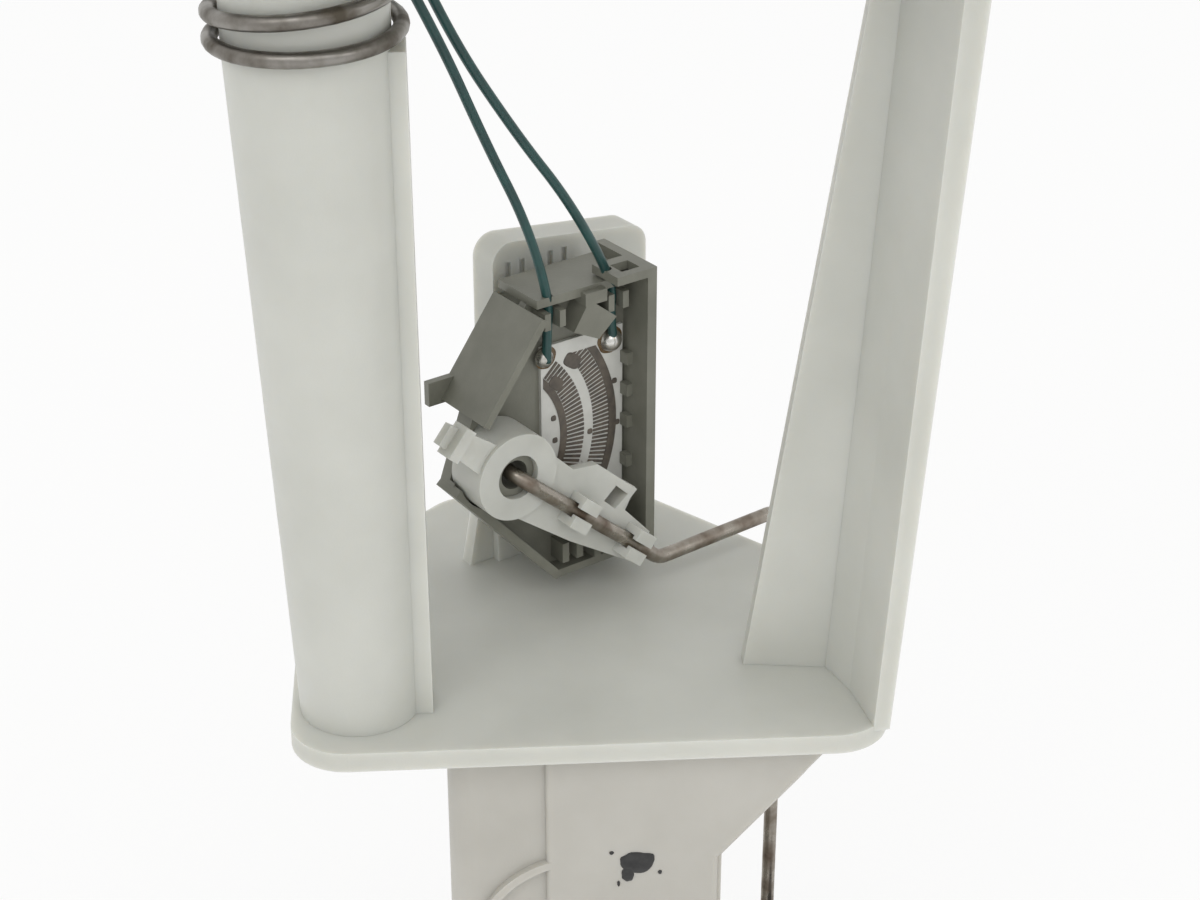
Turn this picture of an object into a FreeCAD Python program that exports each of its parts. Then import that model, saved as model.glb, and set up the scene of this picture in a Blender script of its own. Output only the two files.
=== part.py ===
import FreeCAD, Part
import math
import os

# Fuel pump module: a round flange carries a sprung carrier on two guides. The carrier holds the
# pump housing under its deck and the level sender above it.
# Modelled in the deck frame: X along the deck's front edge, Y to the back, Z = 0 on the deck top.
# Every node is moved to the row frame on export, with the flange axis at X = Y = 0.

V = FreeCAD.Vector
os.makedirs("parts", exist_ok=True)

# overall places
AXIS_X, AXIS_Y = 36.0, 40.0
FLOOR_Z = -124.0
TRAVEL = 35.0

# fits
RUN_FIT = 0.08
SLIDE_FIT = 0.3
SEAT_FIT = 0.2

# flange
FLANGE_Z = 190.0
FLANGE_R = 84.0
FLANGE_T = 5.0
NECK_R = 76.5
NECK_WALL = 2.5
NECK_DEPTH = 9.0
SEAL_CORD = 3.2
SEAL_STEP = 0.6
SEAL_LAND_R = 80.4
DOME_R = 58.0
DOME_T = 2.5
SPIGOT_R = 3.95
SPIGOT_BORE = 2.6
SPIGOT_Z = 206.0
SPIGOT_BOSS_R = 8.0
SPIGOT_BOSS = (10.0, 66.0)
SPIGOT_TIP = 30.0
SPIGOT_PLAIN = 18.0
PLUG_X, PLUG_Y = 54.0, 26.0
PLUG_LX, PLUG_LY = 28.0, 15.0
PLUG_WALL = 1.8
PLUG_DEPTH = 14.0
PIN_W, PIN_PITCH, PIN_RISE = 1.2, 5.0, 8.0

# deck
DECK_T = 4.0
DECK_BACK = 97.0
DECK_LEFT, DECK_RIGHT = -23.0, 90.0
DECK_CHAMFER = 145.5
DECK_CORNER = 11.0

# left guide
TUBE_X, TUBE_Y = -13.0, 17.0
TUBE_FOOT_X = -9.9
TUBE_R_TOP, TUBE_R_FOOT = 14.15, 11.35
TUBE_TOP = 146.0
LEDGE_Z = 130.0
TUBE_BORE_R = 11.4
TUBE_BORE_FLOOR = 97.0
RIB_X0, RIB_X1 = 0.0, 3.4
RIB_FRONT, RIB_BACK = 12.5, 20.4
BUSH_H = 4.0
SLEEVE_R = 9.8
SLEEVE_WALL = 2.0
COLLAR_R = 10.9
COLLAR_H = 5.9

# guide spring
COIL_WIRE = 2.8
COIL_ID = 28.9
COIL_OPEN = 5

# right guide
COLUMN_TOP = 150.0
LEG_X, LEG_Y, LEG_R = 88.5, 35.0, 3.0
EYE_R, EYE_H = 6.0, 9.0
BARB_R, BARB_H = 3.9, 5.0

# pump housing
BLOCK_LEFT, BLOCK_RIGHT = 6.0, 58.5
BLOCK_FRONT, BLOCK_BACK = 6.0, 80.0
BLOCK_FLARE = 79.0
FLARE_Z, FLARE_END_Z = -6.4, -30.7
BLOCK_FOOT = -118.0
BLOCK_WALL = 2.2
BLOCK_ROUND = 6.0
PAD_LEFT = 24.5
PAD_T = 1.6
RIDGE_X, RIDGE_Z, RIDGE_R, RIDGE_W = 31.0, -50.0, 20.0, 1.6

# pump
PUMP_X, PUMP_Y = 32.25, 43.0
CAN_R, CAN_WALL = 19.0, 1.2
CAN_TOP, CAN_FOOT = -22.0, -98.0
SHAFT_R = 2.0
GAP = 0.6

# float arm and sender; u along the card, v up, h out of the card's face
SENDER_TURN = 32.6
PIVOT = V(15.8, 49.2, 34.9)
PLATE_H = -0.6
FRONT_H = 7.4
POST_R = 4.5
HUB_R = 9.0
ARM_H = 11.2
ARM_DEG = -40.7
WIRE_R = 1.5
ARM_BEND = (33.9, -29.2)
ARM_REACH = 67.2
FLOAT_DROP = -146.9
FLOAT_R, FLOAT_LEN = 10.5, 26.0
LEAD_R = 0.95
LEAD_END_Z = FLANGE_Z - 8.3


def box(x0, x1, y0, y1, z0, z1):
    return Part.makeBox(x1 - x0, y1 - y0, z1 - z0, V(x0, y0, z0))


def cyl(x, y, z0, z1, r):
    return Part.makeCylinder(r, z1 - z0, V(x, y, z0))


def tube(x, y, z0, z1, r, bore):
    return cyl(x, y, z0, z1, r).cut(cyl(x, y, z0 - 1, z1 + 1, bore))


def arc_at(a, b, c, r):
    """Tangent arc of radius r at corner b, and its two end points."""
    ba = (a - b).normalize()
    bc = (c - b).normalize()
    half = ba.getAngle(bc) / 2
    reach = r / math.tan(half)
    middle = b + (ba + bc).normalize() * (r / math.sin(half) - r)
    start = b + ba * reach
    end = b + bc * reach
    return Part.Arc(start, middle, end).toShape(), start, end


def rounded_loop(points, r):
    """Closed outline with each corner rounded to r."""
    n = len(points)
    corners = [arc_at(points[i - 1], points[i], points[(i + 1) % n], r) for i in range(n)]
    edges = []
    for i in range(n):
        edges.append(corners[i][0])
        edges.append(Part.makeLine(corners[i][2], corners[(i + 1) % n][1]))
    return Part.Wire(edges)


def prism(points, z0, z1, r=0.0):
    """Upright prism on an XY outline."""
    pts = [V(x, y, z0) for x, y in points]
    loop = rounded_loop(pts, r) if r else Part.makePolygon(pts + pts[:1])
    return Part.Face(loop).extrude(V(0, 0, z1 - z0))


def side_prism(points, y0, y1):
    """Prism on an XZ outline, along Y."""
    pts = [V(x, y0, z) for x, z in points]
    return Part.Face(Part.makePolygon(pts + pts[:1])).extrude(V(0, y1 - y0, 0))


def fuse(shapes):
    whole = shapes[0].fuse(shapes[1:]) if len(shapes) > 1 else shapes[0]
    return whole.removeSplitter()


def rod(points, radius, bend=None):
    """Round bar along straight runs joined by tangent arcs."""
    edges = []
    last = points[0]
    for i in range(1, len(points) - 1):
        a, b, c = points[i - 1], points[i], points[i + 1]
        turn = math.pi - (a - b).getAngle(c - b)
        shorter = min((a - b).Length, (c - b).Length)
        r = bend if bend else 0.45 * shorter / math.tan(turn / 2)
        arc, start, end = arc_at(a, b, c, r)
        edges.append(Part.makeLine(last, start))
        edges.append(arc)
        last = end
    edges.append(Part.makeLine(last, points[-1]))
    path = Part.Wire(edges)
    section = Part.Wire(Part.makeCircle(radius, points[0], points[1] - points[0]))
    return Part.Solid(path.makePipeShell([section], True, True))


# local sender frame: x = u, y = -h, z = v
def at(u, v, h):
    return V(u, -h, v)


def plate(points, h0, h1, r=0.0):
    pts = [at(u, v, h0) for u, v in points]
    loop = rounded_loop(pts, r) if r else Part.makePolygon(pts + pts[:1])
    return Part.Face(loop).extrude(V(0, h0 - h1, 0))


def block(u0, u1, v0, v1, h0, h1):
    return Part.makeBox(u1 - u0, h1 - h0, v1 - v0, V(u0, -h1, v0))


def boss(u, v, h0, h1, r):
    return Part.makeCylinder(r, h1 - h0, at(u, v, h0), V(0, -1, 0))


def polar(r, t, deg):
    a = math.radians(deg)
    return (r * math.cos(a) - t * math.sin(a), r * math.sin(a) + t * math.cos(a))


def seat(shape):
    """Turn a sender piece into place on the carrier."""
    s = shape.copy()
    s.rotate(V(0, 0, 0), V(0, 0, 1), SENDER_TURN)
    s.translate(PIVOT)
    return s


def seat_point(u, v, h):
    a = math.radians(SENDER_TURN)
    p = at(u, v, h)
    return PIVOT + V(p.x * math.cos(a) - p.y * math.sin(a), p.x * math.sin(a) + p.y * math.cos(a), p.z)


def build_flange():
    top = FLANGE_Z + FLANGE_T
    cover = cyl(AXIS_X, AXIS_Y, FLANGE_Z, top, FLANGE_R)
    rim = [e for e in cover.Edges if abs(e.BoundBox.ZMin - top) < 1e-6 and e.Curve.TypeId == "Part::GeomCircle"]
    cover = cover.makeFillet(1.5, rim)
    dome = Part.makeCone(DOME_R, DOME_R - 3, DOME_T, V(AXIS_X, AXIS_Y, top))
    neck = tube(AXIS_X, AXIS_Y, FLANGE_Z - NECK_DEPTH, FLANGE_Z, NECK_R, NECK_R - NECK_WALL)
    retain = tube(AXIS_X, AXIS_Y, FLANGE_Z - NECK_DEPTH, FLANGE_Z - NECK_DEPTH + 2, NECK_R + 1.4, NECK_R - 1)
    sx, sy = SPIGOT_BOSS
    tower = cyl(sx, sy, top, SPIGOT_Z + SPIGOT_BOSS_R - 1, SPIGOT_BOSS_R)
    tip = sx - SPIGOT_TIP
    outlet = Part.makeCylinder(SPIGOT_R, SPIGOT_TIP, V(tip, sy, SPIGOT_Z), V(1, 0, 0))
    bead = Part.makeCylinder(SPIGOT_R + 1.8, SPIGOT_TIP - SPIGOT_PLAIN, V(tip + SPIGOT_PLAIN, sy, SPIGOT_Z), V(1, 0, 0))
    barb = cyl(sx, sy, FLANGE_Z - 14, FLANGE_Z, SPIGOT_R)
    barb_rings = [Part.makeCone(SPIGOT_R, SPIGOT_R + 0.7, 2.0, V(sx, sy, FLANGE_Z - z)) for z in (13, 9, 5)]
    shroud = prism(rect(PLUG_X, PLUG_Y, PLUG_LX, PLUG_LY), top, top + PLUG_DEPTH, 3.0)
    terminal = box(-10, 4, 42, 52, FLANGE_Z - 8, FLANGE_Z)
    saddle = cyl(LEG_X, LEG_Y, FLANGE_Z - 3.5, FLANGE_Z, 6.0)
    spring_ring = cyl(TUBE_X, TUBE_Y, FLANGE_Z - 2, FLANGE_Z, COIL_ID / 2 - SLIDE_FIT)
    ribs = []
    for i in range(12):
        bar = box(AXIS_X + DOME_R - 4, AXIS_X + FLANGE_R - 5, AXIS_Y - 1, AXIS_Y + 1, top, top + 1.6)
        bar.rotate(V(AXIS_X, AXIS_Y, 0), V(0, 0, 1), 15 + 30 * i)
        ribs.append(bar)
    body = fuse([cover, dome, neck, retain, tower, outlet, bead, barb, shroud, terminal, saddle, spring_ring]
                + barb_rings + ribs)
    inner = prism(rect(PLUG_X, PLUG_Y, PLUG_LX - 2 * PLUG_WALL, PLUG_LY - 2 * PLUG_WALL), top, top + 30, 1.5)
    flow = Part.makeCylinder(SPIGOT_BORE, SPIGOT_TIP, V(tip - 1, sy, SPIGOT_Z), V(1, 0, 0))
    drop = cyl(sx, sy, FLANGE_Z - 15, SPIGOT_Z, SPIGOT_BORE)
    cuts = [inner, flow, drop, cyl(TUBE_X, TUBE_Y, FLANGE_Z - 3, FLANGE_Z + 2, SLEEVE_R),
            cyl(LEG_X, LEG_Y, FLANGE_Z - 7, FLANGE_Z + 2, LEG_R)]
    for x, y in pin_places():
        cuts.append(box(x - PIN_W / 2, x + PIN_W / 2, y - PIN_W / 2, y + PIN_W / 2, FLANGE_Z - 1, top + 4))
    cuts.append(tube(AXIS_X, AXIS_Y, FLANGE_Z - 0.01, FLANGE_Z + SEAL_STEP, SEAL_LAND_R, NECK_R))
    return body.cut(cuts)


def rect(cx, cy, lx, ly):
    return [(cx - lx / 2, cy - ly / 2), (cx + lx / 2, cy - ly / 2),
            (cx + lx / 2, cy + ly / 2), (cx - lx / 2, cy + ly / 2)]


def pin_places():
    return [(PLUG_X + (i - 1.5) * PIN_PITCH, PLUG_Y) for i in range(4)]


def build_pins():
    top = FLANGE_Z + FLANGE_T
    pins = []
    for x, y in pin_places():
        half = PIN_W / 2
        pins.append(box(x - half, x + half, y - half, y + half, FLANGE_Z - 6, top + PIN_RISE))
    return Part.makeCompound(pins)


def build_seal():
    mid = NECK_R + SEAL_CORD / 2
    return Part.makeTorus(mid, SEAL_CORD / 2, V(AXIS_X, AXIS_Y, FLANGE_Z + SEAL_STEP - SEAL_CORD / 2))


def build_guide_tube():
    sleeve = cyl(TUBE_X, TUBE_Y, TUBE_TOP - COLLAR_H, FLANGE_Z + 2, SLEEVE_R)
    collar = cyl(TUBE_X, TUBE_Y, TUBE_TOP - COLLAR_H, TUBE_TOP, COLLAR_R)
    bore = cyl(TUBE_X, TUBE_Y, TUBE_TOP - COLLAR_H - 1, FLANGE_Z, SLEEVE_R - SLEEVE_WALL)
    return fuse([sleeve, collar]).cut(bore)


def build_leg():
    foot = COLUMN_TOP - EYE_H
    leg = cyl(LEG_X, LEG_Y, foot - BARB_H, FLANGE_Z + 2, LEG_R)
    barb = Part.makeCone(LEG_R - 1, BARB_R, BARB_H, V(LEG_X, LEG_Y, foot - BARB_H))
    slot = box(LEG_X - 0.5, LEG_X + 0.5, LEG_Y - 5, LEG_Y + 5, foot - BARB_H - 1, foot + 8)
    return fuse([leg, barb]).cut(slot)


def build_spring():
    r = COIL_ID / 2 + COIL_WIRE / 2
    z0 = LEDGE_Z + COIL_WIRE / 2
    z1 = FLANGE_Z - COIL_WIRE / 2
    closed = COIL_WIRE * 1.04
    pitch = (z1 - z0 - 2 * closed) / COIL_OPEN
    turns = COIL_OPEN + 2
    steps = 16
    points = []
    for i in range(turns * steps + 1):
        t = i / steps
        low = min(t, 1.0) * closed
        mid = max(0.0, min(t - 1.0, COIL_OPEN)) * pitch
        high = max(0.0, t - 1.0 - COIL_OPEN) * closed
        a = math.radians(100) + 2 * math.pi * t
        points.append(V(TUBE_X + r * math.cos(a), TUBE_Y + r * math.sin(a), z0 + low + mid + high))
    curve = Part.BSplineCurve()
    curve.interpolate(points)
    path = Part.Wire(curve.toShape())
    section = Part.Wire(Part.makeCircle(COIL_WIRE / 2, points[0], curve.tangent(curve.FirstParameter)[0]))
    return Part.Solid(path.makePipeShell([section], True, True))


def build_carrier():
    knee = DECK_CHAMFER - DECK_BACK
    side = DECK_CHAMFER - DECK_RIGHT
    outline = [(DECK_LEFT, 0), (DECK_RIGHT, 0), (DECK_RIGHT, side), (knee, DECK_BACK), (8, DECK_BACK), (DECK_LEFT, 62)]
    deck = prism(outline, -DECK_T, 0, DECK_CORNER)
    # left guide, tapering down to the deck
    foot = Part.Wire(Part.makeCircle(TUBE_R_FOOT, V(TUBE_FOOT_X, TUBE_Y, -DECK_T + 1)))
    head = Part.Wire(Part.makeCircle(TUBE_R_TOP, V(TUBE_X, TUBE_Y, LEDGE_Z)))
    guide = Part.makeLoft([foot, head], True, True)
    neck = cyl(TUBE_X, TUBE_Y, LEDGE_Z, TUBE_TOP, TUBE_R_TOP)
    rib = side_prism([(RIB_X0 - 3, -1), (RIB_X1 + 0.4, -1), (RIB_X1, LEDGE_Z), (RIB_X0 - 3, LEDGE_Z)], RIB_FRONT, RIB_BACK)
    rib_back = box(TUBE_X - 2, TUBE_X + 2, TUBE_Y + 8, TUBE_Y + 17.4, -1, LEDGE_Z)
    # right guide: an angle section that leans outward and narrows upward
    low = [(64, 25.5), (79.9, 23.5), (83.5, 15), (86.0, 2.5), (89.2, 3.0), (87.2, 16.5), (84.2, 28.5), (64, 29)]
    high = [(84.6, 25.6), (88.2, 24), (90.6, 15), (94.2, 3.5), (98.8, 4), (94.6, 16.5), (92.4, 28.6), (84.6, 29)]
    loops = []
    for pts, z in ((low, -1.0), (high, COLUMN_TOP)):
        loops.append(Part.makePolygon([V(x, y, z) for x, y in pts] + [V(pts[0][0], pts[0][1], z)]))
    column = Part.makeLoft(loops, True, True)
    eye = cyl(LEG_X, LEG_Y, COLUMN_TOP - EYE_H, COLUMN_TOP, EYE_R)
    bridge = box(LEG_X - 3, LEG_X + 3, 27.5, LEG_Y, COLUMN_TOP - EYE_H, COLUMN_TOP)
    # upright slab that holds the sender
    wall_low = seat(plate([(12, -PIVOT.z - 6), (50, -PIVOT.z - 6), (50, 32.0), (12, 37.0)], -22, -15, 4.5))
    wall_low = wall_low.common(box(-100, 200, -100, 200, -1, 200))
    gusset = seat(plate([(12, -PIVOT.z - 1), (12, -6), (6, -PIVOT.z - 1)], -20, -17))
    body = fuse([deck, guide, neck, rib, rib_back, column, eye, bridge, wall_low, gusset])
    cuts = [cyl(TUBE_X, TUBE_Y, TUBE_BORE_FLOOR, TUBE_TOP + 1, TUBE_BORE_R),
            cyl(TUBE_X, TUBE_Y, 20, TUBE_BORE_FLOOR + 1, 4.0),
            cyl(LEG_X, LEG_Y, COLUMN_TOP - EYE_H - 1, COLUMN_TOP + 1, LEG_R + SLIDE_FIT)]
    for i in range(5):
        u = 15 + 3.4 * i
        cuts.append(seat(block(u, u + 1.4, -24, 32, -15.9, -14)))
    cuts.append(seat(block(22, 40, -34, -31, -23, -14)))
    return body.cut(cuts)


def build_bush():
    return tube(TUBE_X, TUBE_Y, TUBE_TOP, TUBE_TOP + BUSH_H, TUBE_R_TOP, SLEEVE_R + SEAT_FIT)


def block_shape(inset, z_top, z_foot):
    """Pump housing body, shrunk by inset on every side wall."""
    left, right = BLOCK_LEFT + inset, BLOCK_RIGHT - inset
    front, back = BLOCK_FRONT + inset, BLOCK_BACK - inset
    flare = BLOCK_FLARE - inset
    run = DECK_CHAMFER - 5.5 - 1.4 * inset
    plan = prism([(left, front), (flare, front), (flare, run - flare), (run - back, back), (left, back)],
                 z_foot, z_top, BLOCK_ROUND - inset)
    slope = (FLARE_Z - FLARE_END_Z) / (BLOCK_FLARE - BLOCK_RIGHT)
    rise = 1.3 * inset * slope / math.hypot(1, slope) if inset else 0.0
    side = side_prism([(left, z_foot), (left, z_top), (flare, z_top), (flare, FLARE_Z + rise),
                       (right, FLARE_END_Z + rise), (right, z_foot)], 0, 120)
    return plan.common(side)


def build_pump_housing():
    outer = block_shape(0.0, -DECK_T, BLOCK_FOOT)
    inner = block_shape(BLOCK_WALL, -DECK_T + 1, BLOCK_FOOT - 1)
    shell = outer.cut(inner)
    edge = 0.8
    pad = side_prism([(PAD_LEFT, BLOCK_FOOT + 6), (PAD_LEFT, -DECK_T - 0.3), (BLOCK_FLARE - edge, -DECK_T - 0.3),
                      (BLOCK_FLARE - edge, FLARE_Z), (BLOCK_RIGHT - edge, FLARE_END_Z),
                      (BLOCK_RIGHT - edge, BLOCK_FOOT + 6)], BLOCK_FRONT - PAD_T, BLOCK_FRONT + 1.8)
    front = [e for e in pad.Edges if e.BoundBox.YLength < 1e-3 and e.BoundBox.YMax < BLOCK_FRONT]
    pad = pad.makeFillet(PAD_T * 0.7, front)
    arc = Part.makeCylinder(RIDGE_R + RIDGE_W / 2, PAD_T + 1, V(RIDGE_X, BLOCK_FRONT - PAD_T, RIDGE_Z), V(0, 1, 0))
    arc = arc.cut(Part.makeCylinder(RIDGE_R - RIDGE_W / 2, 9, V(RIDGE_X, 0, RIDGE_Z), V(0, 1, 0)))
    arc = arc.common(box(BLOCK_LEFT, PAD_LEFT + 1, 0, 20, -90, 0))
    return fuse([shell, pad, arc])


def base_outline(inset):
    return [(BLOCK_LEFT + inset, BLOCK_FRONT + inset), (BLOCK_RIGHT - inset, BLOCK_FRONT + inset),
            (BLOCK_RIGHT - inset, BLOCK_BACK - inset), (BLOCK_LEFT + inset, BLOCK_BACK - inset)]


def build_base():
    floor = prism(base_outline(0.0), BLOCK_FOOT - 3, BLOCK_FOOT, BLOCK_ROUND)
    inset = BLOCK_WALL + SEAT_FIT
    lip = prism(base_outline(inset), BLOCK_FOOT, BLOCK_FOOT + 4, 3.5)
    lip = lip.cut(prism(base_outline(inset + 1.6), BLOCK_FOOT - 1, BLOCK_FOOT + 5, 2.0))
    feet = [cyl(x, y, FLOOR_Z, BLOCK_FOOT - 3, 5.0) for x in (15, 49.5) for y in (15, 71)]
    slots = [box(20, 44.5, 27 + 7 * i, 30 + 7 * i, BLOCK_FOOT - 4, BLOCK_FOOT + 1) for i in range(5)]
    return fuse([floor, lip] + feet).cut(slots)


def build_strainer_frame():
    z0, z1 = BLOCK_FOOT, BLOCK_FOOT + 6.5
    shell = prism([(12, 20), (52.5, 20), (52.5, 66), (12, 66)], z0, z1, 4.0)
    inside = prism([(14, 22), (50.5, 22), (50.5, 64), (14, 64)], z0 - 1, z1 - 1.5, 2.0)
    return shell.cut([inside, cyl(PUMP_X, PUMP_Y, z0, z1 + 1, 5.0 + SEAT_FIT / 4)])


def build_strainer_mesh():
    z0 = BLOCK_FOOT + 1.0
    sheet = prism([(14, 22), (50.5, 22), (50.5, 64), (14, 64)], z0, z0 + 0.5, 2.0)
    holes = []
    for i in range(9):
        holes += [box(17 + 3.5 * i, 18.6 + 3.5 * i, 25 + 6 * j, 29 + 6 * j, z0 - 1, z0 + 2) for j in range(6)]
    return sheet.cut(holes)


def build_can():
    return tube(PUMP_X, PUMP_Y, CAN_FOOT, CAN_TOP, CAN_R, CAN_R - CAN_WALL)


def build_outlet_cap():
    cap = cyl(PUMP_X, PUMP_Y, CAN_TOP, CAN_TOP + 8, CAN_R)
    nozzle = cyl(PUMP_X + 7, PUMP_Y, CAN_TOP + 8, CAN_TOP + 16, 4.0)
    bead = Part.makeCone(4.0, 4.8, 2.0, V(PUMP_X + 7, PUMP_Y, CAN_TOP + 12))
    bearing = cyl(PUMP_X, PUMP_Y, CAN_TOP - 6, CAN_TOP, 5.0)
    studs = [box(PUMP_X - 9, PUMP_X - 8, PUMP_Y + s - 2, PUMP_Y + s + 2, CAN_TOP + 8, CAN_TOP + 14) for s in (-6, 6)]
    cap = fuse([cap, nozzle, bead, bearing] + studs)
    return cap.cut([cyl(PUMP_X + 7, PUMP_Y, CAN_TOP - 1, CAN_TOP + 17, 2.6),
                    cyl(PUMP_X, PUMP_Y, CAN_TOP - 7, CAN_TOP + 2, SHAFT_R + RUN_FIT)])


def build_inlet_cap():
    cap = cyl(PUMP_X, PUMP_Y, CAN_FOOT - 6, CAN_FOOT, CAN_R)
    spigot = cyl(PUMP_X, PUMP_Y, CAN_FOOT - 14.5, CAN_FOOT - 6, 5.0)
    ports = [cyl(PUMP_X + 12 * math.cos(a), PUMP_Y + 12 * math.sin(a), CAN_FOOT - 4, CAN_FOOT + 1, 2.0)
             for a in (0.5, 2.6, 4.7)]
    body = fuse([cap, spigot])
    return body.cut([cyl(PUMP_X, PUMP_Y, CAN_FOOT - 15, CAN_FOOT - 5, 3.2),
                     cyl(PUMP_X, PUMP_Y, CAN_FOOT - 3, CAN_FOOT + 1, SHAFT_R + RUN_FIT)] + ports)


def build_magnets():
    ring = tube(PUMP_X, PUMP_Y, CAN_FOOT + 16, CAN_FOOT + 54, CAN_R - CAN_WALL, 13.2)
    gap = box(PUMP_X - 30, PUMP_X + 30, PUMP_Y - 5, PUMP_Y + 5, CAN_FOOT, CAN_TOP)
    return ring.cut(gap)


def build_brushes():
    z = CAN_FOOT + 58
    arms = []
    for s in (-1, 1):
        bar = box(7.2, CAN_R, -2, 2, z, z + 4)
        if s < 0:
            bar.rotate(V(0, 0, 0), V(0, 0, 1), 180)
        arms.append(bar)
    lump = Part.makeCompound(arms)
    lump.translate(V(PUMP_X, PUMP_Y, 0))
    return lump.common(cyl(PUMP_X, PUMP_Y, CAN_FOOT, CAN_TOP, CAN_R - CAN_WALL))


def build_armature():
    core = cyl(PUMP_X, PUMP_Y, CAN_FOOT + 18, CAN_FOOT + 52, 13.2 - GAP)
    slots = []
    for i in range(8):
        slot = box(7.5, 20, -0.8, 0.8, CAN_FOOT, CAN_TOP)
        slot.rotate(V(0, 0, 0), V(0, 0, 1), 45 * i)
        slot.translate(V(PUMP_X, PUMP_Y, 0))
        slots.append(slot)
    commutator = cyl(PUMP_X, PUMP_Y, CAN_FOOT + 52, CAN_FOOT + 63, 7.0)
    return fuse([core.cut(slots), commutator]).cut(cyl(PUMP_X, PUMP_Y, CAN_FOOT, CAN_TOP, SHAFT_R))


def build_impeller():
    disc = cyl(PUMP_X, PUMP_Y, CAN_FOOT + GAP, CAN_FOOT + 4, 16.5)
    cuts = [cyl(PUMP_X, PUMP_Y, CAN_FOOT, CAN_FOOT + 9, SHAFT_R)]
    for i in range(20):
        cut = box(13.5, 18, -0.8, 0.8, CAN_FOOT, CAN_FOOT + 9)
        cut.rotate(V(0, 0, 0), V(0, 0, 1), 18 * i)
        cut.translate(V(PUMP_X, PUMP_Y, 0))
        cuts.append(cut)
    return disc.cut(cuts)


def build_shaft():
    return cyl(PUMP_X, PUMP_Y, CAN_FOOT - 2.5, CAN_TOP + 1, SHAFT_R)


def build_mount():
    half = (BLOCK_RIGHT - BLOCK_LEFT) / 2 - BLOCK_WALL
    return tube(PUMP_X, PUMP_Y, -72, -60, half, CAN_R)


def strip(p, q, t, h0, h1):
    """Straight wall from p to q, t thick to its left side."""
    dx, dz = q[0] - p[0], q[1] - p[1]
    n = math.hypot(dx, dz)
    ox, oz = -dz / n * t, dx / n * t
    return plate([p, q, (q[0] + ox, q[1] + oz), (p[0] + ox, p[1] + oz)], h0, h1)


def build_sender_housing():
    outline = [(33.6, 31), (11, 31), (-4.2, 12), (-9.7, -3.4), (-4, -9.4), (14, -29.4), (33.6, -29.4)]
    back = plate(outline, PLATE_H - 2, PLATE_H)
    walls = [
        block(33.4, 35.6, -29.4, 34.0, -10, FRONT_H),
        strip((9.5, 29.2), (-4.4, 10.4), -1.6, -9, FRONT_H),
        strip((-9.2, -2.6), (14.6, -29.4), -1.8, PLATE_H - 2, 4.2),
        block(14, 33.5, -31.0, -29.3, PLATE_H - 2, 3.0),
        block(10.0, 33.5, 30.0, 31.8, -10, 3.0),
        block(26, 35.6, 32.2, 34.0, -1, FRONT_H),
        plate([(17.6, 23.7), (21.4, 29.6), (27.9, 24.4), (23.6, 20.7)], PLATE_H - 0.1, 4.6),
        block(20.4, 25.6, 28.4, 31, PLATE_H, 4.6),
        strip((-4.2, 12), (-9.7, -3.4), 1.6, PLATE_H - 2, 2.0),
        block(12, 33.5, -22, 26, -15, PLATE_H - 1.9),
        boss(0, 0, PLATE_H - 2, ARM_H - 2.2, POST_R),
        block(-8.5, -1.0, 10.5, 15.5, -9, -7.4),
    ]
    for v in (13, 6, -1, -10, -18):
        walls.append(block(32.0, 33.5, v - 1.3, v + 1.3, 0.3, 2.6))
    for u in (13.5, 28.7):
        for s in (-1, 1):
            walls.append(block(u + s * 1.75 - 0.7, u + s * 1.75 + 0.7, 25.5, 29.0, PLATE_H - 0.1, 4.2))
    for u, v in ((16, -25.5), (19.5, -25.5), (24, -27.0)):
        walls.append(block(u - 0.8, u + 0.8, v - 2.2, v + 2.2, PLATE_H - 0.1, 3.6))
    body = fuse([back] + walls)
    cuts = [block(14, 31.5, -20, 24, -16, PLATE_H - 2), boss(0, 0, -4, ARM_H, POST_R - 1.5),
            block(28.5, 32.8, 32.0, 34.4, 1.5, 5.4),
            boss(0, 0, 0.3, 20, HUB_R + 0.4).cut(boss(0, 0, 0, 21, POST_R))]
    return body.cut(cuts)


def build_card():
    return block(12.7, 32.6, -20.5, 20.0, PLATE_H, 0.2)


def sector(r0, r1, a0, a1, h0, h1):
    ring = boss(0, 0, h0, h1, r1).cut(boss(0, 0, h0 - 1, h1 + 1, r0))
    wedge = [(0, 0)] + [polar(60, 0, a0 + (a1 - a0) * i / 4) for i in range(5)]
    return ring.common(plate(wedge, h0 - 1, h1 + 1))


def build_tracks():
    h0, h1 = 0.2, 0.35
    lands = []
    for r0, r1 in ((17.2, 18.8), (29.2, 31.0)):
        lands.append(sector(r0, r1, -40, 46, h0, h1))
    for r0, r1, count in ((18.9, 23.0, 34), (25.3, 29.1, 46)):
        step = 86.0 / count
        for i in range(count):
            lands.append(sector(r0, r1, -40 + i * step, -40 + (i + 0.62) * step, h0, h1))
    window = block(13.2, 31.9, -19.6, 17.0, h0, h1)
    kept = []
    for land in lands:
        kept += [s for s in land.common(window).Solids if s.Volume > 0.02]
    return Part.makeCompound(kept)


LEAD_LEFT = [(13.2, 17.4, 1.5), (13.5, 24.0, 1.2), (13.5, 31.0, 2.2)]
LEAD_RIGHT = [(29.4, 16.8, 1.5), (28.7, 24.0, 1.2), (28.7, 31.0, 2.2)]


def lead_path(local, run):
    return [seat_point(*p) for p in local] + [V(*p) for p in run]


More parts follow.
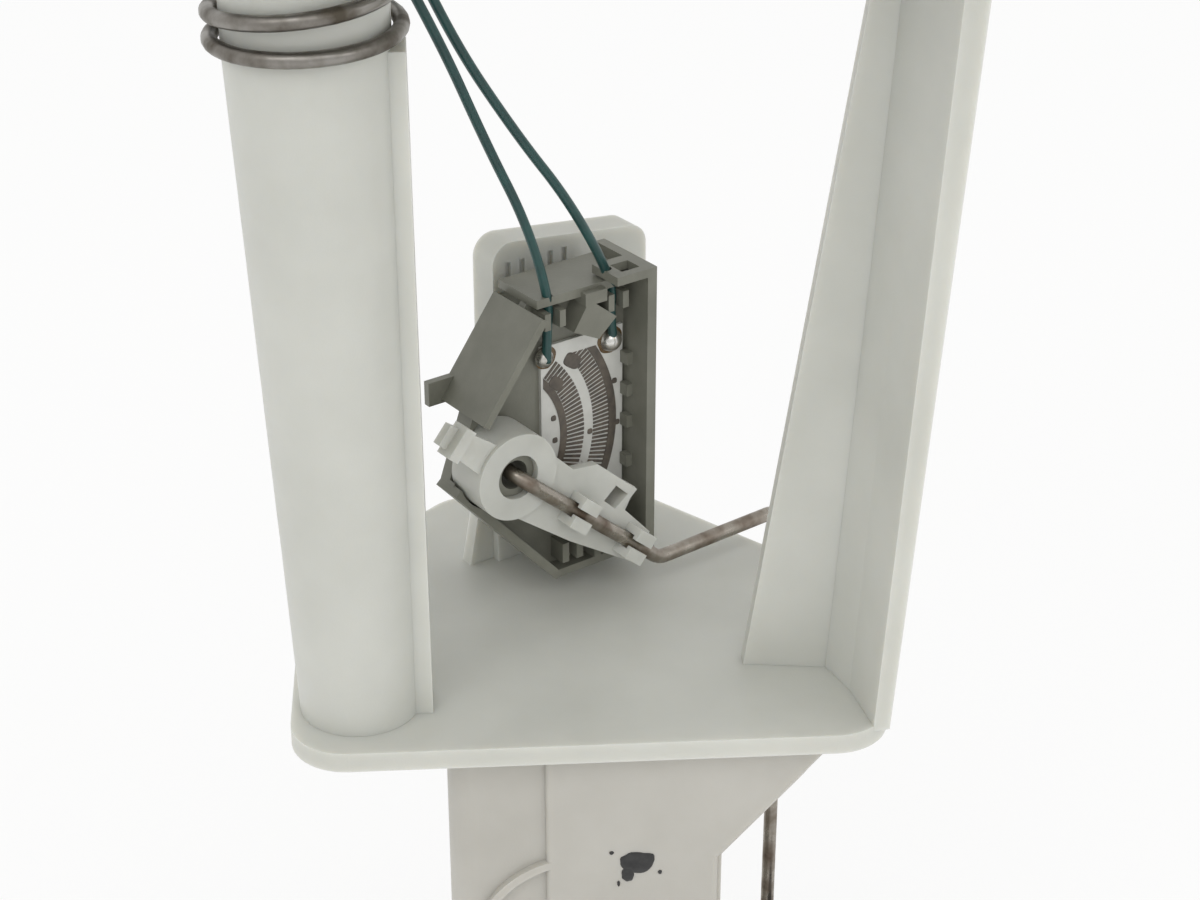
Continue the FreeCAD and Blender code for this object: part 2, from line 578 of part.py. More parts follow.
def build_leads():
    left = lead_path(LEAD_LEFT, [(24.0, 52.5, 83.0), (17.0, 50.5, 99.0), (8.4, 46.2, 122.0), (-5.6, 45.4, 150.0),
                                 (-5.6, 46.0, LEAD_END_Z)])
    right = lead_path(LEAD_RIGHT, [(32.5, 55.5, 85.5), (22.6, 53.0, 100.0), (10.4, 49.6, 121.0), (-1.4, 49.0, 150.0),
                                   (-1.4, 48.2, LEAD_END_Z)])
    return rod(left, LEAD_R), rod(right, LEAD_R)


def build_solder(leads):
    drops = []
    for (u, v, h), r in ((LEAD_LEFT[0], 2.0), (LEAD_RIGHT[0], 2.4)):
        ball = Part.makeSphere(r, at(u, v + 0.6, 0.35)).common(block(u - 5, u + 5, v - 5, v + 5, 0.35, 5))
        drops.append(ball)
    return seat(Part.makeCompound(drops)).cut(list(leads))


def build_rotor(arm_wire):
    d = ARM_DEG
    low, high = FRONT_H + 0.4, ARM_H - WIRE_R
    hub = boss(0, 0, 0.8, ARM_H - 0.7, HUB_R)
    collar = boss(0, 0, 0.05, 0.9, HUB_R - 3.1)
    beam = plate([polar(r, t, d) for r, t in ((0, -7.5), (22, -6), (40, -3.6), (40, 3.6), (22, 6), (0, 7.5))], low, high)
    tail = plate([polar(r, t, d) for r, t in ((0, -4), (-21, -2.2), (-21, 2.2), (0, 4))], low, high)
    carriage = plate([(18.5, -4.2), (29.6, -12.4), (26, -18.6), (17.4, -13.5)], 5.6, low + 1.0)
    shelf = plate([(10, -2.5), (19.5, -3.6), (29.4, -12.4), (24, -17)], low, high)
    parts = [hub, collar, beam, tail, carriage, shelf]
    for r in (15.4, 33.4):
        for s in (-1, 1):
            stem = [(r, s * 1.55), (r + 5, s * 1.55), (r + 5, s * 3.3), (r, s * 3.3)]
            head = [(r, s * 0.8), (r + 5, s * 0.8), (r + 5, s * 3.3), (r, s * 3.3)]
            parts.append(plate([polar(a, b, d) for a, b in stem], high - 0.5, ARM_H + 2.0))
            parts.append(plate([polar(a, b, d) for a, b in head], ARM_H + 1.7, ARM_H + 2.9))
    parts.append(plate([polar(r, t, d) for r, t in ((-19, -3.4), (-16.5, -3.4), (-16.5, 3.4), (-19, 3.4))],
                       low, high + 2.2))
    body = fuse(parts)
    window = plate([(21.1, -12.4), (24.1, -9.9), (27.1, -12.8), (23.8, -15.1)], 0, ARM_H + 5)
    return body.cut([boss(0, 0, -3, ARM_H + 4, POST_R + RUN_FIT), window, arm_wire])


def build_wiper():
    pad = plate([(17.6, -5.6), (21, -5.6), (20.2, -12.0), (16.8, -10.4)], 5.0, 5.6)
    bridge = plate([(17.6, -8), (26.6, -16.4), (25.4, -17.6), (16.8, -10.4)], 5.0, 5.6)
    legs = []
    for r, deg in ((19.8, -26.0), (22.5, -24.5), (27.6, -33.0)):
        u, v = polar(r, 0, deg)
        legs.append(block(u - 0.7, u + 0.7, v - 0.9, v + 0.9, 0.5, 5.1))
    return fuse([pad, bridge] + legs)


def build_arm_wire():
    pts = [at(0, 0, 2.0), at(0, 0, ARM_H), at(ARM_BEND[0], ARM_BEND[1], ARM_H), at(ARM_REACH, ARM_BEND[1] + 0.6, ARM_H),
           at(ARM_REACH, FLOAT_DROP, ARM_H), at(ARM_REACH, FLOAT_DROP, ARM_H + 8 + FLOAT_LEN)]
    return rod(pts, WIRE_R, 4.5)


FLOAT_H = ARM_H + 5.4


def build_float():
    body = boss(ARM_REACH, FLOAT_DROP, FLOAT_H, FLOAT_H + FLOAT_LEN, FLOAT_R)
    rims = [e for e in body.Edges if e.Curve.TypeId == "Part::GeomCircle"]
    body = body.makeFillet(1.5, rims)
    return body.cut(boss(ARM_REACH, FLOAT_DROP, 0, 90, WIRE_R + RUN_FIT))


def build_clip():
    h = FLOAT_H + FLOAT_LEN + SEAT_FIT
    return boss(ARM_REACH, FLOAT_DROP, h, h + 0.8, 4.0).cut(boss(ARM_REACH, FLOAT_DROP, 0, 90, WIRE_R))


def export(name, shape):
    s = shape.copy()
    s.translate(V(-AXIS_X, -AXIS_Y, -FLOOR_Z))
    if not s.isValid():
        print("invalid", name)
    s.exportStep("parts/" + name + ".step")
    b = s.BoundBox
    print(name, len(s.Solids), round(s.Volume / 1000, 2), [round(v, 1) for v in
          (b.XMin, b.XMax, b.YMin, b.YMax, b.ZMin, b.ZMax)])


arm_wire = build_arm_wire()
leads = build_leads()
nodes = {
    "flange_cover": build_flange(),
    "flange_seal": build_seal(),
    "connector_pins": build_pins(),
    "guide_tube": build_guide_tube(),
    "guide_leg": build_leg(),
    "guide_spring": build_spring(),
    "carrier_frame": build_carrier(),
    "guide_bush": build_bush(),
    "pump_housing": build_pump_housing(),
    "base_cover": build_base(),
    "strainer_frame": build_strainer_frame(),
    "strainer_mesh": build_strainer_mesh(),
    "pump_can": build_can(),
    "pump_outlet_cap": build_outlet_cap(),
    "pump_inlet_cap": build_inlet_cap(),
    "pump_magnets": build_magnets(),
    "pump_brushes": build_brushes(),
    "pump_mount": build_mount(),
    "pump_armature": build_armature(),
    "pump_impeller": build_impeller(),
    "pump_shaft": build_shaft(),
    "sender_housing": seat(build_sender_housing()).cut(list(leads)),
    "sender_card": seat(build_card()),
    "sender_tracks": seat(build_tracks()),
    "sender_solder": build_solder(leads),
    "sender_wire_left": leads[0],
    "sender_wire_right": leads[1],
    "sender_rotor": seat(build_rotor(arm_wire)),
    "sender_wiper": seat(build_wiper()),
    "float_wire": seat(arm_wire),
    "float": seat(build_float()),
    "float_clip": seat(build_clip()),
}
for node, shape in nodes.items():
    export(node, shape)
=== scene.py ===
import math

import bmesh
import bpy
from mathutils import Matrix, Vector, noise


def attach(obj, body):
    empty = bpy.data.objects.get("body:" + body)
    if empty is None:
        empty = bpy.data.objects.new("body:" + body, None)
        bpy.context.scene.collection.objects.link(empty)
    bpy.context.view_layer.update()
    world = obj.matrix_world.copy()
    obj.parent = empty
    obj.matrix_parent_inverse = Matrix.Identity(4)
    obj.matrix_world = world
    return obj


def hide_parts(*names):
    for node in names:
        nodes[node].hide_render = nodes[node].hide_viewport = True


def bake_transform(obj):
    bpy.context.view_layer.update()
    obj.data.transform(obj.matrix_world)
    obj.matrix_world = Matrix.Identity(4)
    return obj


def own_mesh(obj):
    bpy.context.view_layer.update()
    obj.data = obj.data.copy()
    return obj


# Fuel pump module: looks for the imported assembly, in metres, in the row frame.

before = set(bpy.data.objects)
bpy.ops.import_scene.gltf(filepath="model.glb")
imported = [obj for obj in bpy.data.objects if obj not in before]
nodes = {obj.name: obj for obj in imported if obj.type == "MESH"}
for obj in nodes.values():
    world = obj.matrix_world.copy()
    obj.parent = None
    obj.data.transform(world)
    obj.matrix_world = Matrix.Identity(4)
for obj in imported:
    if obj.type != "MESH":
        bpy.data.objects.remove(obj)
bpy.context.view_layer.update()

MM = 0.001
# the deck's front left corner, in millimetres from the row's origin
DECK = Vector((-36.0, -40.0, 124.0))


def row(x, y, z):
    """A point given in millimetres from the deck's front left corner, in the row frame."""
    return (Vector((x, y, z)) + DECK) * MM


SENDER_TURN = math.radians(32.6)
PIVOT = (15.8, 49.2, 34.9)


def sender_point(u, v, h):
    """A point on the sender: u along the card, v up, h out of its face."""
    c, s = math.cos(SENDER_TURN), math.sin(SENDER_TURN)
    return row(PIVOT[0] + u * c + h * s, PIVOT[1] + u * s - h * c, PIVOT[2] + v)


# camera

CAMERA_AT = Vector((-0.0263, -0.4134, 0.383))
CAMERA_LOOK = Vector((0.0586, 0.8827, -0.4664))
CAMERA_LENS = 73.23

camera_data = bpy.data.cameras.new("camera")
camera_data.lens = CAMERA_LENS
camera_data.sensor_width = 36.0
camera_data.sensor_fit = "HORIZONTAL"
camera_data.clip_start = 0.01
camera = bpy.data.objects.new("camera", camera_data)
camera.location = CAMERA_AT
camera.rotation_euler = CAMERA_LOOK.to_track_quat("-Z", "Y").to_euler()
bpy.context.scene.collection.objects.link(camera)
bpy.context.scene.camera = camera
bpy.context.scene.view_settings.view_transform = "Standard"


# shared shader effects

# a Mix node's colour sockets: its two colour inputs and its colour output
MIX_A, MIX_B, MIX_OUT = 6, 7, 2
# how much rougher the cloudy or stained places are
CLOUD_ROUGHER, STAIN_ROUGHER = 0.18, 0.3
# depth of the fine relief, and how far light spreads inside the plastic
RELIEF_DEPTH = 0.0002
SPREAD_SHARE = (1.0, 0.9, 0.75)
SPREAD_DEPTH = 0.004

def new_group(name, inputs, outputs):
    """Empty shader node group with its named sockets."""
    group = bpy.data.node_groups.new(name, "ShaderNodeTree")
    for label, kind, value in inputs:
        socket = group.interface.new_socket(label, in_out="INPUT", socket_type=kind)
        socket.default_value = value
    for label, kind in outputs:
        group.interface.new_socket(label, in_out="OUTPUT", socket_type=kind)
    start = group.nodes.new("NodeGroupInput")
    end = group.nodes.new("NodeGroupOutput")
    return group, start, end


def moulded_effect():
    """Cloudy tint, fine texture and faint flow lines of a moulded plastic wall."""
    group, start, end = new_group(
        "moulded wall",
        [("Tint", "NodeSocketColor", (0.8, 0.8, 0.8, 1)),
         ("Shade", "NodeSocketColor", (0.6, 0.6, 0.6, 1)),
         ("Cloud Scale", "NodeSocketFloat", 60.0), ("Texture Scale", "NodeSocketFloat", 2200.0),
         ("Roughness", "NodeSocketFloat", 0.4)],
        [("Color", "NodeSocketColor"), ("Roughness", "NodeSocketFloat"), ("Height", "NodeSocketFloat")])
    n, link = group.nodes, group.links.new
    place = n.new("ShaderNodeTexCoord")
    cloud = n.new("ShaderNodeTexNoise")
    cloud.inputs["Detail"].default_value = 4.0
    link(place.outputs["Object"], cloud.inputs["Vector"])
    link(start.outputs["Cloud Scale"], cloud.inputs["Scale"])
    spread = n.new("ShaderNodeMapRange")
    spread.inputs["From Min"].default_value = 0.3
    spread.inputs["From Max"].default_value = 0.7
    link(cloud.outputs["Fac"], spread.inputs["Value"])
    tint = n.new("ShaderNodeMix")
    tint.data_type = "RGBA"
    link(spread.outputs["Result"], tint.inputs["Factor"])
    link(start.outputs["Shade"], tint.inputs[MIX_A])
    link(start.outputs["Tint"], tint.inputs[MIX_B])
    link(tint.outputs[MIX_OUT], end.inputs["Color"])
    fine = n.new("ShaderNodeTexNoise")
    fine.inputs["Detail"].default_value = 3.0
    link(place.outputs["Object"], fine.inputs["Vector"])
    link(start.outputs["Texture Scale"], fine.inputs["Scale"])
    link(fine.outputs["Fac"], end.inputs["Height"])
    gloss = n.new("ShaderNodeMath")
    gloss.operation = "MULTIPLY_ADD"
    gloss.inputs[1].default_value = CLOUD_ROUGHER
    link(cloud.outputs["Fac"], gloss.inputs[0])
    link(start.outputs["Roughness"], gloss.inputs[2])
    link(gloss.outputs["Value"], end.inputs["Roughness"])
    return group


def drawn_effect():
    """Stains and drawing marks along a metal wire or sheet."""
    group, start, end = new_group(
        "drawn metal",
        [("Clean", "NodeSocketColor", (0.5, 0.5, 0.5, 1)),
         ("Stain", "NodeSocketColor", (0.2, 0.17, 0.12, 1)),
         ("Stain Scale", "NodeSocketFloat", 120.0), ("Roughness", "NodeSocketFloat", 0.3)],
        [("Color", "NodeSocketColor"), ("Roughness", "NodeSocketFloat"), ("Height", "NodeSocketFloat")])
    n, link = group.nodes, group.links.new
    place = n.new("ShaderNodeTexCoord")
    stain = n.new("ShaderNodeTexNoise")
    stain.inputs["Detail"].default_value = 6.0
    link(place.outputs["Object"], stain.inputs["Vector"])
    link(start.outputs["Stain Scale"], stain.inputs["Scale"])
    edge = n.new("ShaderNodeMapRange")
    edge.inputs["From Min"].default_value = 0.38
    edge.inputs["From Max"].default_value = 0.68
    link(stain.outputs["Fac"], edge.inputs["Value"])
    tint = n.new("ShaderNodeMix")
    tint.data_type = "RGBA"
    link(edge.outputs["Result"], tint.inputs["Factor"])
    link(start.outputs["Clean"], tint.inputs[MIX_A])
    link(start.outputs["Stain"], tint.inputs[MIX_B])
    link(tint.outputs[MIX_OUT], end.inputs["Color"])
    gloss = n.new("ShaderNodeMath")
    gloss.operation = "MULTIPLY_ADD"
    gloss.inputs[1].default_value = STAIN_ROUGHER
    link(edge.outputs["Result"], gloss.inputs[0])
    link(start.outputs["Roughness"], gloss.inputs[2])
    link(gloss.outputs["Value"], end.inputs["Roughness"])
    marks = n.new("ShaderNodeTexNoise")
    marks.inputs["Scale"].default_value = 1800.0
    link(place.outputs["Object"], marks.inputs["Vector"])
    link(marks.outputs["Fac"], end.inputs["Height"])
    return group


moulded = moulded_effect()
drawn = drawn_effect()


def surface(name, effect, values, metallic=0.0, bump=0.1, subsurface=0.0, coat=0.0):
    """Material whose colour, roughness and relief come from a shared effect."""
    material = bpy.data.materials.new(name)
    material.use_nodes = True
    tree = material.node_tree
    shader = tree.nodes["Principled BSDF"]
    shader.inputs["Metallic"].default_value = metallic
    shader.inputs["Coat Weight"].default_value = coat
    if subsurface:
        shader.inputs["Subsurface Weight"].default_value = subsurface
        shader.inputs["Subsurface Radius"].default_value = SPREAD_SHARE
        shader.inputs["Subsurface Scale"].default_value = SPREAD_DEPTH
    look = tree.nodes.new("ShaderNodeGroup")
    look.node_tree = effect
    for label, value in values.items():
        look.inputs[label].default_value = value
    relief = tree.nodes.new("ShaderNodeBump")
    relief.inputs["Strength"].default_value = bump
    relief.inputs["Distance"].default_value = RELIEF_DEPTH
    tree.links.new(look.outputs["Color"], shader.inputs["Base Color"])
    tree.links.new(look.outputs["Roughness"], shader.inputs["Roughness"])
    tree.links.new(look.outputs["Height"], relief.inputs["Height"])
    tree.links.new(relief.outputs["Normal"], shader.inputs["Normal"])
    return material


def plastic(name, tint, shade, roughness=0.32, cloud=60.0, **more):
    values = {"Tint": tint + (1,), "Shade": shade + (1,), "Roughness": roughness, "Cloud Scale": cloud}
    return surface(name, moulded, values, **more)


def metal(name, clean, stain, roughness=0.25, scale=120.0, **more):
    values = {"Clean": clean + (1,), "Stain": stain + (1,), "Roughness": roughness, "Stain Scale": scale}
    return surface(name, drawn, values, metallic=1.0, **more)


natural = plastic(
    "natural acetal", (0.62, 0.625, 0.585),
    (0.56, 0.565, 0.525), 0.3, 40.0, subsurface=0.6, bump=0.1)
warm = plastic(
    "warm acetal", (0.53, 0.515, 0.475),
    (0.47, 0.455, 0.415), 0.32, 45.0, subsurface=0.35, bump=0.1)
cover = plastic(
    "cover acetal", (0.57, 0.57, 0.53),
    (0.5, 0.5, 0.465), 0.36, 30.0, subsurface=0.2, bump=0.12)
olive = plastic(
    "olive sender plastic", (0.215, 0.215, 0.18),
    (0.165, 0.165, 0.135), 0.3, 120.0, bump=0.15)
lever = plastic(
    "clear acetal lever", (0.6, 0.605, 0.57),
    (0.5, 0.505, 0.47), 0.22, 90.0, subsurface=0.4, bump=0.08)
black = plastic("black moulding", (0.035, 0.035, 0.037), (0.02, 0.02, 0.021), 0.38, 80.0, bump=0.2)
rubber = plastic("seal rubber", (0.03, 0.03, 0.03), (0.018, 0.018, 0.018), 0.55, 200.0, bump=0.3)
foam = plastic("float foam", (0.045, 0.044, 0.042), (0.02, 0.02, 0.02), 0.62, 900.0, bump=0.6)
ceramic = plastic("fired ceramic", (0.7, 0.7, 0.67), (0.62, 0.62, 0.59), 0.4, 300.0, bump=0.1)
ink = plastic("resistor ink", (0.15, 0.125, 0.1), (0.08, 0.07, 0.06), 0.35, 500.0, bump=0.2)
insulation = plastic(
    "green insulation", (0.012, 0.075, 0.07),
    (0.008, 0.045, 0.045), 0.3, 200.0, bump=0.1, coat=0.2)
netting = plastic("woven netting", (0.5, 0.5, 0.47), (0.3, 0.3, 0.28), 0.6, 1500.0, bump=0.5)
ferrite = plastic("ferrite", (0.05, 0.05, 0.055), (0.03, 0.03, 0.03), 0.5, 300.0, bump=0.3)
paint = plastic("marking paint", (0.012, 0.012, 0.013), (0.03, 0.03, 0.03), 0.22, 500.0, bump=0.2)
flux = plastic("flux residue", (0.16, 0.1, 0.045), (0.1, 0.06, 0.025), 0.15, 700.0, bump=0.1)
spring_steel = metal("spring steel", (0.3, 0.285, 0.265), (0.11, 0.095, 0.075), 0.28, 150.0)
arm_steel = metal("arm wire steel", (0.36, 0.33, 0.29), (0.17, 0.13, 0.1), 0.26, 220.0)
plated = metal("plated can", (0.6, 0.6, 0.6), (0.45, 0.44, 0.42), 0.25, 60.0)
laminated = metal("laminated core", (0.4, 0.33, 0.26), (0.2, 0.15, 0.12), 0.4, 400.0)
tin = metal("tin solder", (0.72, 0.72, 0.7), (0.45, 0.42, 0.38), 0.18, 500.0)
brass = metal("contact brass", (0.55, 0.4, 0.22), (0.3, 0.2, 0.1), 0.28, 500.0)

finishes = {
    "flange_cover": cover, "guide_tube": cover, "guide_leg": cover, "flange_seal": rubber,
    "connector_pins": tin, "guide_spring": spring_steel, "carrier_frame": natural, "guide_bush": natural,
    "pump_housing": warm, "base_cover": warm, "strainer_frame": natural, "strainer_mesh": netting,
    "pump_can": plated, "pump_outlet_cap": black, "pump_inlet_cap": black, "pump_magnets": ferrite,
    "pump_brushes": ferrite, "pump_mount": rubber, "pump_armature": laminated, "pump_impeller": black,
    "pump_shaft": plated, "sender_housing": olive, "sender_card": ceramic, "sender_tracks": ink,
    "sender_solder": tin, "sender_wire_left": insulation, "sender_wire_right": insulation,
    "sender_rotor": lever, "sender_wiper": brass, "float_wire": arm_steel,
    "float": foam, "float_clip": plated,
}
for name, material in finishes.items():
    mesh = nodes[name].data
    mesh.materials.clear()
    mesh.materials.append(material)


# mesh helpers

def mesh_from(name, bm):
    mesh = bpy.data.meshes.new(name)
    bm.to_mesh(mesh)
    bm.free()
    return mesh


def piece(name, mesh, material, body, smooth=True):
    """Named piece of one material, carried by a body when one is given."""
    mesh.materials.append(material)
    if smooth:
        mesh.polygons.foreach_set("use_smooth", [True] * len(mesh.polygons))
    obj = bpy.data.objects.new(name, mesh)
    bpy.context.scene.collection.objects.link(obj)
    if body:
        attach(obj, body)
    return obj


def sweep(name, points, radius, sides=14):
    """Round tube along points, closed at both ends."""
    bm = bmesh.new()
    rings = []
    side = None
    for i, p in enumerate(points):
        ahead = (points[min(i + 1, len(points) - 1)] - points[max(i - 1, 0)]).normalized()
        if side is None:
            side = ahead.orthogonal().normalized()
        side = (side - ahead * side.dot(ahead)).normalized()
        up = ahead.cross(side)
        ring = []
        for k in range(sides):
            a = 2 * math.pi * k / sides
            ring.append(bm.verts.new(p + (side * math.cos(a) + up * math.sin(a)) * radius))
        rings.append(ring)
    for low, high in zip(rings, rings[1:]):
        for k in range(sides):
            bm.faces.new((low[k], low[(k + 1) % sides], high[(k + 1) % sides], high[k]))
    bm.faces.new(list(reversed(rings[0])))
    bm.faces.new(rings[-1])
    return mesh_from(name, bm)


def route(name, points):
    """Smooth line through a lead's control points, read back as close points."""
    curve = bpy.data.curves.new(name, "CURVE")
    curve.dimensions = "3D"
    curve.resolution_u = 16
    spline = curve.splines.new("NURBS")
    spline.points.add(len(points) - 1)
    for target, p in zip(spline.points, points):
        target.co = (p.x, p.y, p.z, 1.0)
    spline.order_u = 3
    spline.use_endpoint_u = True
    holder = bpy.data.objects.new(name, curve)
    line = bpy.data.meshes.new_from_object(holder)
    result = [v.co.copy() for v in line.vertices]
    bpy.data.objects.remove(holder)
    bpy.data.curves.remove(curve)
    bpy.data.meshes.remove(line)
    return result


# sender leads, from the card's solder joints up to the cover

LEAD_R = 0.00095
# control points of each lead's line, from the card up to the cover
LEAD_ROUTES = {
    "sender_wire_left": [
        sender_point(13.2, 17.4, 1.5), sender_point(13.5, 24.0, 1.2), sender_point(13.5, 31.0, 2.2),
        row(24.0, 52.5, 83.0), row(17.0, 50.5, 99.0), row(8.4, 46.2, 122.0),
        row(-5.6, 45.4, 150.0), row(-5.6, 46.0, 181.7)],
    "sender_wire_right": [
        sender_point(29.4, 16.8, 1.5), sender_point(28.7, 24.0, 1.2), sender_point(28.7, 31.0, 2.2),
        row(32.5, 55.5, 85.5), row(22.6, 53.0, 100.0), row(10.4, 49.6, 121.0),
        row(-1.4, 49.0, 150.0), row(-1.4, 48.2, 181.7)],
}
for node, points in LEAD_ROUTES.items():
    line = route(node + "_route", points)
    lead = piece(node + "_lead", sweep(node, line, LEAD_R), insulation, None)
    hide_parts(node)
    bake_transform(lead)


# guide spring

COIL_WIRE, COIL_ID, COIL_OPEN = 2.8, 28.9, 5
COIL_STEPS = 40
COIL_STARTS_AT = math.radians(100)
# pitch of the closed end turns, in wire thicknesses
COIL_CLOSED = 1.04
TUBE_X, TUBE_Y = -13.0, 17.0
LEDGE_Z, COVER_Z = 130.0, 190.0


def spring_line():
    """Centre line of the coils: open turns between one closed turn at each end."""
    radius = (COIL_ID + COIL_WIRE) / 2
    low, high = LEDGE_Z + COIL_WIRE / 2, COVER_Z - COIL_WIRE / 2
    closed = COIL_WIRE * COIL_CLOSED
    pitch = (high - low - 2 * closed) / COIL_OPEN
    points = []
    for i in range((COIL_OPEN + 2) * COIL_STEPS + 1):
        t = i / COIL_STEPS
        z = low + min(t, 1.0) * closed + max(0.0, min(t - 1.0, COIL_OPEN)) * pitch
        z += max(0.0, t - 1.0 - COIL_OPEN) * closed
        a = COIL_STARTS_AT + 2 * math.pi * t
        points.append(row(TUBE_X + radius * math.cos(a), TUBE_Y + radius * math.sin(a), z))
    return points


coils = sweep("spring_coils", spring_line(), COIL_WIRE / 2 * MM, 16)
spring = piece("spring_coils", coils, spring_steel, "carrier")
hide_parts("guide_spring")
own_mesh(spring)


# marking paint on the housing's front

PAINT_SIDES = 36
PAINT_THICK = 0.25
# share of the drop's radius, and how far the paint stands off the wall there
PAINT_RINGS = ((0.55, 0.24), (0.9, 0.16), (1.0, 0.0))
PAINT_WAVE, PAINT_WAVE_SIZE = 0.22, 1.7


def paint_blob(name, x, z, width, height, rim, seed):
    """Flat drop of paint with an uneven edge."""
    bm = bmesh.new()
    count = PAINT_SIDES
    centre = bm.verts.new(row(x, rim - PAINT_THICK, z))
    rings = []
    for share, lift in PAINT_RINGS:
        ring = []
        for i in range(count):
            a = 2 * math.pi * i / count
            spot = Vector((math.cos(a) * PAINT_WAVE_SIZE + seed, math.sin(a) * PAINT_WAVE_SIZE, seed))
            wave = 1 + PAINT_WAVE * noise.noise(spot)
            ring.append(bm.verts.new(row(x + width / 2 * share * wave * math.cos(a), rim - lift,
                                         z + height / 2 * share * wave * math.sin(a))))
        rings.append(ring)
    for i in range(count):
        j = (i + 1) % count
        bm.faces.new((centre, rings[0][i], rings[0][j]))
        for inner, outer in zip(rings, rings[1:]):
            bm.faces.new((inner[i], outer[i], outer[j], inner[j]))
    piece(name, mesh_from(name, bm), paint, "carrier")


# the housing's front face, and each drop's place across and up with its width and height
HOUSING_FRONT = 4.38
PAINT_SEED = 3.1
PAINT_DROPS = (
    (42.0, -30.6, 7.0, 5.0), (40.2, -33.4, 2.6, 3.4), (37.0, -28.2, 0.9, 0.8),
    (46.4, -33.2, 0.8, 0.9), (38.4, -35.6, 0.6, 1.3),
)
for i, (x, z, width, height) in enumerate(PAINT_DROPS):
    paint_blob("paint_mark_%d" % i, x, z, width, height, HOUSING_FRONT, PAINT_SEED + i)


# flux rings round the two solder joints

FLUX_SIDES = 40
# share of the joint's radius, and height over the card's face there
FLUX_RINGS = ((0.75, 0.45), (1.0, 0.42), (1.18, 0.24))
FLUX_WAVE, FLUX_WAVE_SIZE = 0.06, 2


def flux_ring(name, u, v, radius):
    """Low wavy ring of residue on the card."""
    bm = bmesh.new()
    count = FLUX_SIDES
    loops = []
    for share, lift in FLUX_RINGS:
        loop = []
        for i in range(count):
            a = 2 * math.pi * i / count
            spot = Vector((math.cos(a) * FLUX_WAVE_SIZE, math.sin(a) * FLUX_WAVE_SIZE, radius))
            w = radius * share * (1 + FLUX_WAVE * noise.noise(spot))
            loop.append(bm.verts.new(sender_point(u + w * math.cos(a), v + w * math.sin(a), lift)))
        loops.append(loop)
    for inner, outer in zip(loops, loops[1:]):
        for i in range(count):
            j = (i + 1) % count
            bm.faces.new((inner[i], outer[i], outer[j], inner[j]))
    piece(name, mesh_from(name, bm), flux, "carrier")


flux_ring("flux_left", 13.8, 17.8, 2.1)
flux_ring("flux_right", 29.4, 17.4, 2.5)


# trimming dots and start pads on the card

PATCH_SIDES = 28
PATCH_FOOT, PATCH_TOP = 0.21, 0.4
# the top's size against the foot's, and the power that squares the outline's corners
PATCH_TAPER, PATCH_SQUARE = 0.9, 0.6
DOT_HALF = 0.6


def card_patch(name, u, v, half_u, half_v, turn):
    """Thin fired patch with rounded corners on the card's face."""
    bm = bmesh.new()
    count = PATCH_SIDES
    rim, top = [], []
    for i in range(count):
        a = 2 * math.pi * i / count
        x = half_u * math.copysign(abs(math.cos(a)) ** PATCH_SQUARE, math.cos(a))
        y = half_v * math.copysign(abs(math.sin(a)) ** PATCH_SQUARE, math.sin(a))
        x, y = x * math.cos(turn) - y * math.sin(turn), x * math.sin(turn) + y * math.cos(turn)
        rim.append(bm.verts.new(sender_point(u + x, v + y, PATCH_FOOT)))
        top.append(bm.verts.new(sender_point(u + x * PATCH_TAPER, v + y * PATCH_TAPER, PATCH_TOP)))
    for i in range(count):
        j = (i + 1) % count
        bm.faces.new((top[i], rim[i], rim[j], top[j]))
    bm.faces.new(top)
    piece(name, mesh_from(name, bm), ink, "carrier", smooth=False)


CARD_DOTS = ((30.6, 7.9), (31.3, -1.6), (24.5, -1.7), (15.6, 3.9), (15.9, -1.1))
for i, (u, v) in enumerate(CARD_DOTS):
    card_patch("card_dot_%d" % i, u, v, DOT_HALF, DOT_HALF, 0.0)
card_patch("card_pad_upper", 20.3, 15.2, 2.2, 1.5, math.radians(-35))
card_patch("card_pad_lower", 16.3, 11.4, 1.9, 1.3, math.radians(-40))


# floor, backdrop and lamps

# how much of the floor the camera sees as plain white paper
PAPER_SHARE = 0.8
PAPER_TONE = (0.95, 0.95, 0.95, 1)
FLOOR_SIZE = 6.0
FLOOR_AT = (0, 1.0, -0.0005)
AMBIENT_TONE = (1.0, 1.0, 0.985, 1)
AMBIENT_LEVEL = 0.84


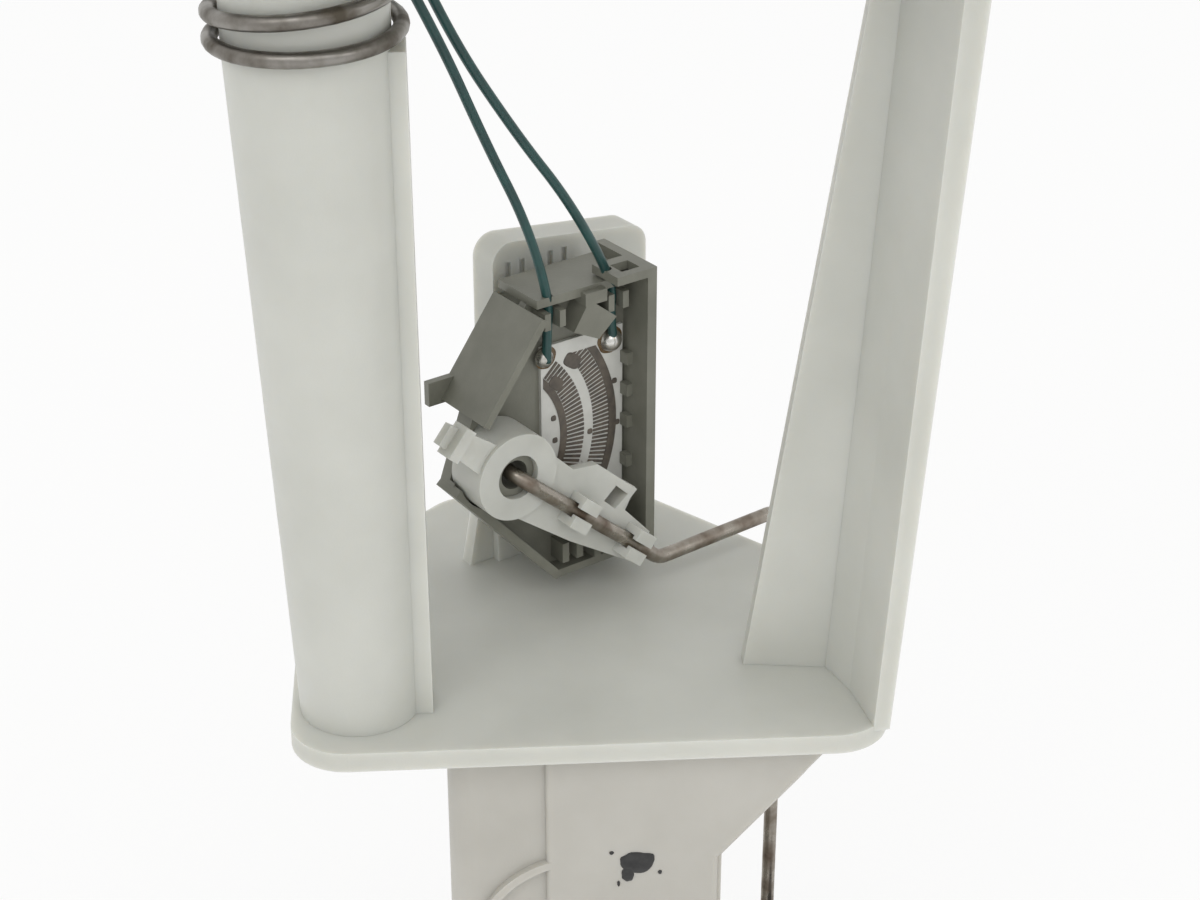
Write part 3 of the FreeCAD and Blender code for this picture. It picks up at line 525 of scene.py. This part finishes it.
def plain_floor():
    """Pale floor that keeps the object's shadow and looks white to the camera."""
    bpy.ops.mesh.primitive_plane_add(size=FLOOR_SIZE, location=FLOOR_AT)
    sheet = bpy.context.object
    sheet.name = "floor"
    material = bpy.data.materials.new("floor")
    material.use_nodes = True
    shader = material.node_tree.nodes["Principled BSDF"]
    shader.inputs["Base Color"].default_value = PAPER_TONE
    shader.inputs["Roughness"].default_value = 0.9
    links = material.node_tree.links
    paper = material.node_tree.nodes.new("ShaderNodeEmission")
    paper.inputs["Strength"].default_value = 1.0
    ray = material.node_tree.nodes.new("ShaderNodeLightPath")
    share = material.node_tree.nodes.new("ShaderNodeMath")
    share.operation = "MULTIPLY"
    share.inputs[1].default_value = PAPER_SHARE
    pick = material.node_tree.nodes.new("ShaderNodeMixShader")
    links.new(ray.outputs["Is Camera Ray"], share.inputs[0])
    links.new(share.outputs["Value"], pick.inputs["Fac"])
    links.new(shader.outputs["BSDF"], pick.inputs[1])
    links.new(paper.outputs["Emission"], pick.inputs[2])
    links.new(pick.outputs["Shader"], material.node_tree.nodes["Material Output"].inputs["Surface"])
    sheet.data.materials.append(material)


def studio_world():
    """Even soft light all round, seen by the camera as plain white."""
    world = bpy.data.worlds.new("studio")
    bpy.context.scene.world = world
    world.use_nodes = True
    tree = world.node_tree
    ambient = tree.nodes["Background"]
    ambient.inputs["Color"].default_value = AMBIENT_TONE
    ambient.inputs["Strength"].default_value = AMBIENT_LEVEL
    seen = tree.nodes.new("ShaderNodeBackground")
    seen.inputs["Color"].default_value = (1, 1, 1, 1)
    seen.inputs["Strength"].default_value = 1.0
    ray = tree.nodes.new("ShaderNodeLightPath")
    pick = tree.nodes.new("ShaderNodeMixShader")
    tree.links.new(ray.outputs["Is Camera Ray"], pick.inputs["Fac"])
    tree.links.new(ambient.outputs["Background"], pick.inputs[1])
    tree.links.new(seen.outputs["Background"], pick.inputs[2])
    tree.links.new(pick.outputs["Shader"], tree.nodes["World Output"].inputs["Surface"])


def lamp(name, place, aim, size, power):
    """Square soft lamp turned towards a point."""
    data = bpy.data.lights.new(name, "AREA")
    data.size = size
    data.energy = power
    obj = bpy.data.objects.new(name, data)
    obj.location = place
    obj.rotation_euler = (Vector(aim) - Vector(place)).to_track_quat("-Z", "Y").to_euler()
    bpy.context.scene.collection.objects.link(obj)


plain_floor()
studio_world()
TARGET = (0.0, 0.0, 0.16)
lamp("lamp_left", (-0.75, -1.0, 1.35), TARGET, 0.6, 3.0)
lamp("lamp_right", (1.05, -0.8, 0.9), TARGET, 0.7, 1.4)
lamp("lamp_front", (0.1, -1.1, 1.25), TARGET, 1.0, 2.4)
